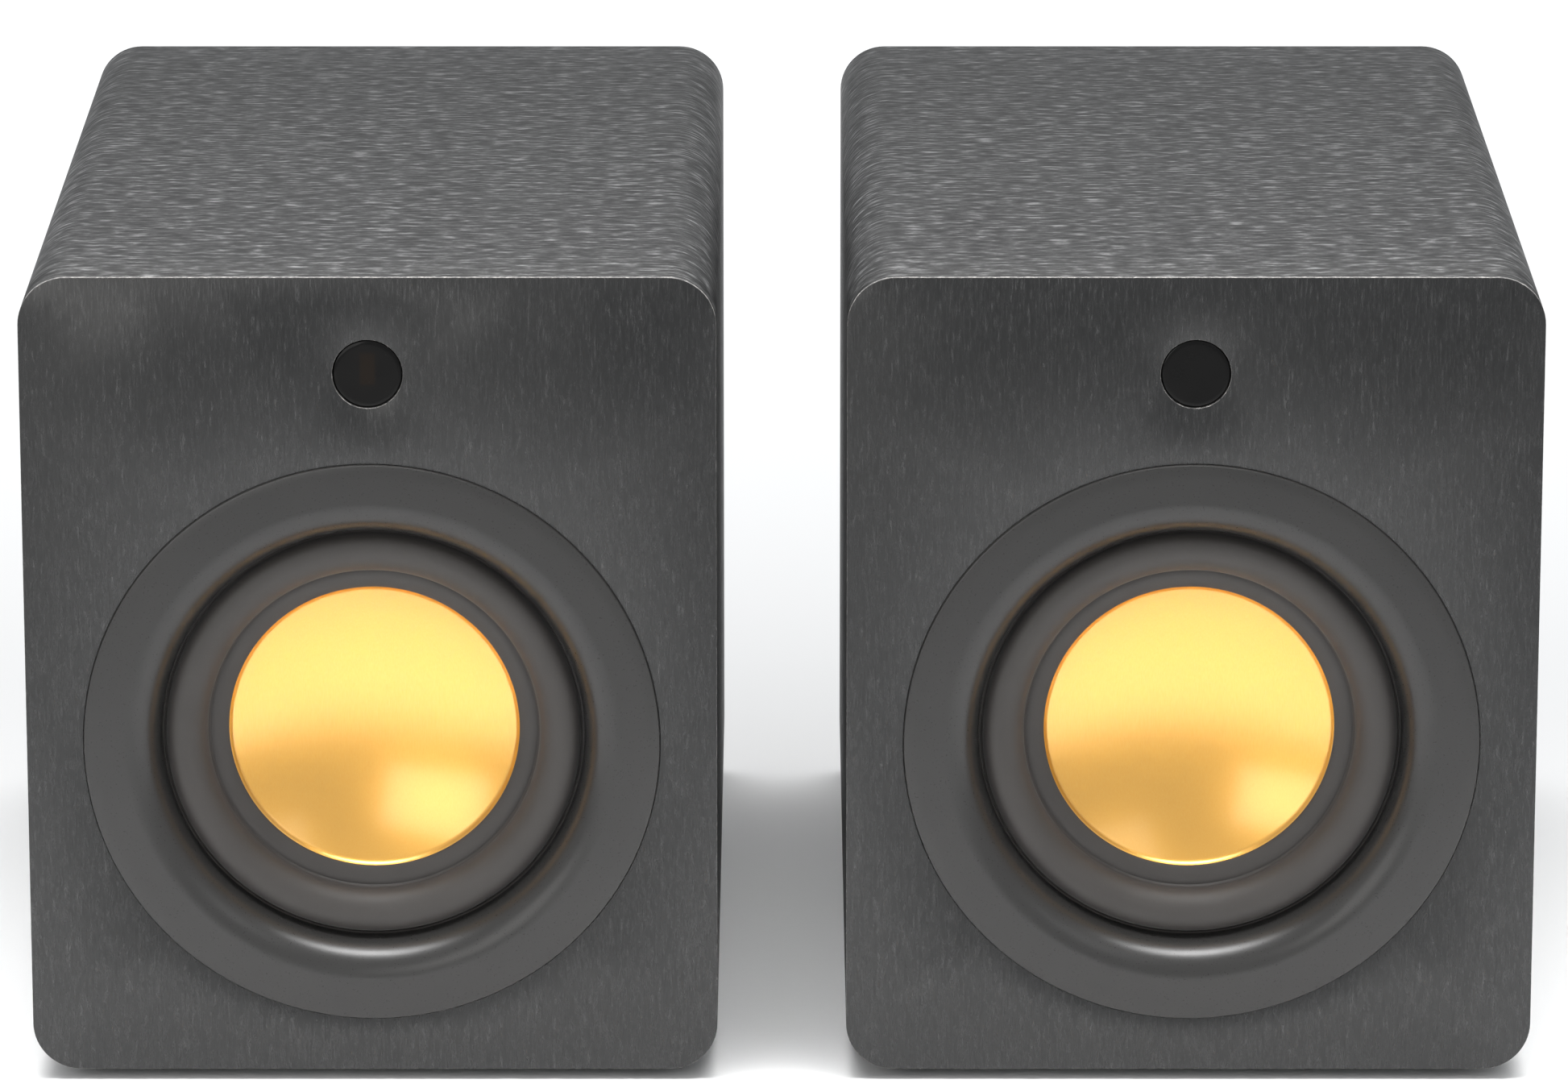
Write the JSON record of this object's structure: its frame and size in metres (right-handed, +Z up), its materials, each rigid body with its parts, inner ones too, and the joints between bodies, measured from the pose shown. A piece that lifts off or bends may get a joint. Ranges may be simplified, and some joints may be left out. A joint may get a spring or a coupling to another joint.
{
  "type": "desktop speakers",
  "caption": "Rounded black desktop speakers, each with a gold-coned driver in a grey trim ring under a round window; amplifier, sockets, volume knob and power switch at the back.",
  "frame": {"origin": "on the surface the speakers stand on, midway between them and halfway from the trim rings to the ends of the binding posts", "axes": "+X to the right seen from the front, -Y out of the fronts, +Z up"},
  "size_m": [0.3064, 0.239, 0.1688],
  "materials": {
    "cabinet_wrap": "board wrapped in black brushed film",
    "front_sheet": "black, finely brushed up and down",
    "bare_board": "black-stained board",
    "trim_ring": "satin anthracite",
    "surround_rubber": "matt, half-roll",
    "cone_metal": "satin gold, finely brushed",
    "coil_copper": "enamelled copper winding",
    "spider_cloth": "resin-stiffened cloth",
    "motor_steel": "zinc plated",
    "magnet_ferrite": "dull dark grey",
    "basket_plastic": "black moulding",
    "port_plastic": "black moulding",
    "window_lens": "smoked, polished",
    "pad_foam": "matt foam rubber",
    "amplifier_plate": "black powder coat",
    "terminal_plate": "black moulding",
    "circuit_board": "green solder mask",
    "heat_sink": "plain extrusion",
    "transformer_wrap": "taped ring winding",
    "pot_case": "plated",
    "knob_plastic": "satin black",
    "switch_plastic": "black moulding",
    "jack_red": "red",
    "jack_white": "white",
    "jack_black": "black",
    "post_metal": "gold plated",
    "nut_red": "red, fluted",
    "nut_black": "black, fluted",
    "receiver_plastic": "dark epoxy",
    "light_plastic": "diffused"
  },
  "bodies": {
    "left_speaker": {"left_cabinet": "cabinet_wrap", "left_front_fascia": "front_sheet", "left_front_baffle": "bare_board", "left_rear_panel": "bare_board", "left_window_lens": "window_lens", "left_port_tube": "port_plastic", "left_base_pad": "pad_foam", "left_trim_ring": "trim_ring", "left_surround": "surround_rubber", "left_basket": "basket_plastic", "left_spider": "spider_cloth", "left_top_plate": "motor_steel", "left_magnet": "magnet_ferrite", "left_pole_piece": "motor_steel", "left_red_post": "post_metal", "left_black_post": "post_metal", "amplifier_plate": "amplifier_plate", "amplifier_board": "circuit_board", "heat_sink": "heat_sink", "transformer": "transformer_wrap", "volume_potentiometer": "pot_case", "power_inlet": "switch_plastic", "white_input_jack": "jack_white", "red_input_jack": "jack_red", "aux_input_jack": "jack_black", "remote_receiver": "receiver_plastic", "status_led": "light_plastic"},
    "left_cone_and_coil": {"left_cone": "cone_metal", "left_voice_coil": "coil_copper"},
    "left_red_washer": {"left_red_washer": "post_metal"},
    "left_red_nut": {"left_red_nut": "nut_red"},
    "left_black_washer": {"left_black_washer": "post_metal"},
    "left_black_nut": {"left_black_nut": "nut_black"},
    "right_speaker": {"right_cabinet": "cabinet_wrap", "right_front_fascia": "front_sheet", "right_front_baffle": "bare_board", "right_rear_panel": "bare_board", "right_window_lens": "window_lens", "right_port_tube": "port_plastic", "right_base_pad": "pad_foam", "right_trim_ring": "trim_ring", "right_surround": "surround_rubber", "right_basket": "basket_plastic", "right_spider": "spider_cloth", "right_top_plate": "motor_steel", "right_magnet": "magnet_ferrite", "right_pole_piece": "motor_steel", "right_red_post": "post_metal", "right_black_post": "post_metal", "terminal_plate": "terminal_plate"},
    "right_cone_and_coil": {"right_cone": "cone_metal", "right_voice_coil": "coil_copper"},
    "right_red_washer": {"right_red_washer": "post_metal"},
    "right_red_nut": {"right_red_nut": "nut_red"},
    "right_black_washer": {"right_black_washer": "post_metal"},
    "right_black_nut": {"right_black_nut": "nut_black"},
    "volume_control": {"volume_knob": "knob_plastic", "volume_shaft": "pot_case"},
    "input_button": {"input_button": "knob_plastic"},
    "power_rocker": {"power_rocker": "switch_plastic"}
  },
  "joints": [
    {"name": "speaker_spacing", "type": "slide", "parent": "left_speaker", "child": "right_speaker", "axis": [1, 0, 0], "range_m": [-0.024, 0.4]},
    {"name": "left_cone_travel", "type": "slide", "parent": "left_speaker", "child": "left_cone_and_coil", "axis": [0, -1, 0], "range_m": [-0.003, 0.003], "stiffness_N_per_m": 900, "deforming": ["left_surround", "left_spider"]},
    {"name": "left_red_washer_slide", "type": "slide", "parent": "left_speaker", "child": "left_red_washer", "axis": [0, 1, 0], "range_m": [0, 0.004]},
    {"name": "left_red_nut_turn", "type": "hinge", "parent": "left_red_washer", "child": "left_red_nut", "pos_m": [-0.12115, 0.1133, 0.0403], "axis": [0, 1, 0], "range_deg": [0, 1800]},
    {"name": "left_black_washer_slide", "type": "slide", "parent": "left_speaker", "child": "left_black_washer", "axis": [0, 1, 0], "range_m": [0, 0.004]},
    {"name": "left_black_nut_turn", "type": "hinge", "parent": "left_black_washer", "child": "left_black_nut", "pos_m": [-0.10215, 0.1133, 0.0403], "axis": [0, 1, 0], "range_deg": [0, 1800]},
    {"name": "right_cone_travel", "type": "slide", "parent": "right_speaker", "child": "right_cone_and_coil", "axis": [0, -1, 0], "range_m": [-0.003, 0.003], "stiffness_N_per_m": 900, "deforming": ["right_surround", "right_spider"]},
    {"name": "right_red_washer_slide", "type": "slide", "parent": "right_speaker", "child": "right_red_washer", "axis": [0, 1, 0], "range_m": [0, 0.004]},
    {"name": "right_red_nut_turn", "type": "hinge", "parent": "right_red_washer", "child": "right_red_nut", "pos_m": [0.07365, 0.1133, 0.0563], "axis": [0, 1, 0], "range_deg": [0, 1800]},
    {"name": "right_black_washer_slide", "type": "slide", "parent": "right_speaker", "child": "right_black_washer", "axis": [0, 1, 0], "range_m": [0, 0.004]},
    {"name": "right_black_nut_turn", "type": "hinge", "parent": "right_black_washer", "child": "right_black_nut", "pos_m": [0.09265, 0.1133, 0.0563], "axis": [0, 1, 0], "range_deg": [0, 1800]},
    {"name": "volume_turn", "type": "hinge", "parent": "left_speaker", "child": "volume_control", "pos_m": [-0.11715, 0.1107, 0.0853], "axis": [0, -1, 0], "range_deg": [-150, 150]},
    {"name": "input_press", "type": "slide", "parent": "left_speaker", "child": "input_button", "axis": [0, -1, 0], "range_m": [0, 0.0012], "stiffness_N_per_m": 400},
    {"name": "power_rock", "type": "hinge", "parent": "left_speaker", "child": "power_rocker", "pos_m": [-0.05515, 0.1038, 0.0558], "axis": [1, 0, 0], "range_deg": [0, 20]}
  ],
  "couplings": [
    {"joint": "left_red_nut_turn", "follows": "left_red_washer_slide", "rad_per_m": 7854},
    {"joint": "left_black_nut_turn", "follows": "left_black_washer_slide", "rad_per_m": 7854},
    {"joint": "right_red_nut_turn", "follows": "right_red_washer_slide", "rad_per_m": 7854},
    {"joint": "right_black_nut_turn", "follows": "right_black_washer_slide", "rad_per_m": 7854}
  ]
}
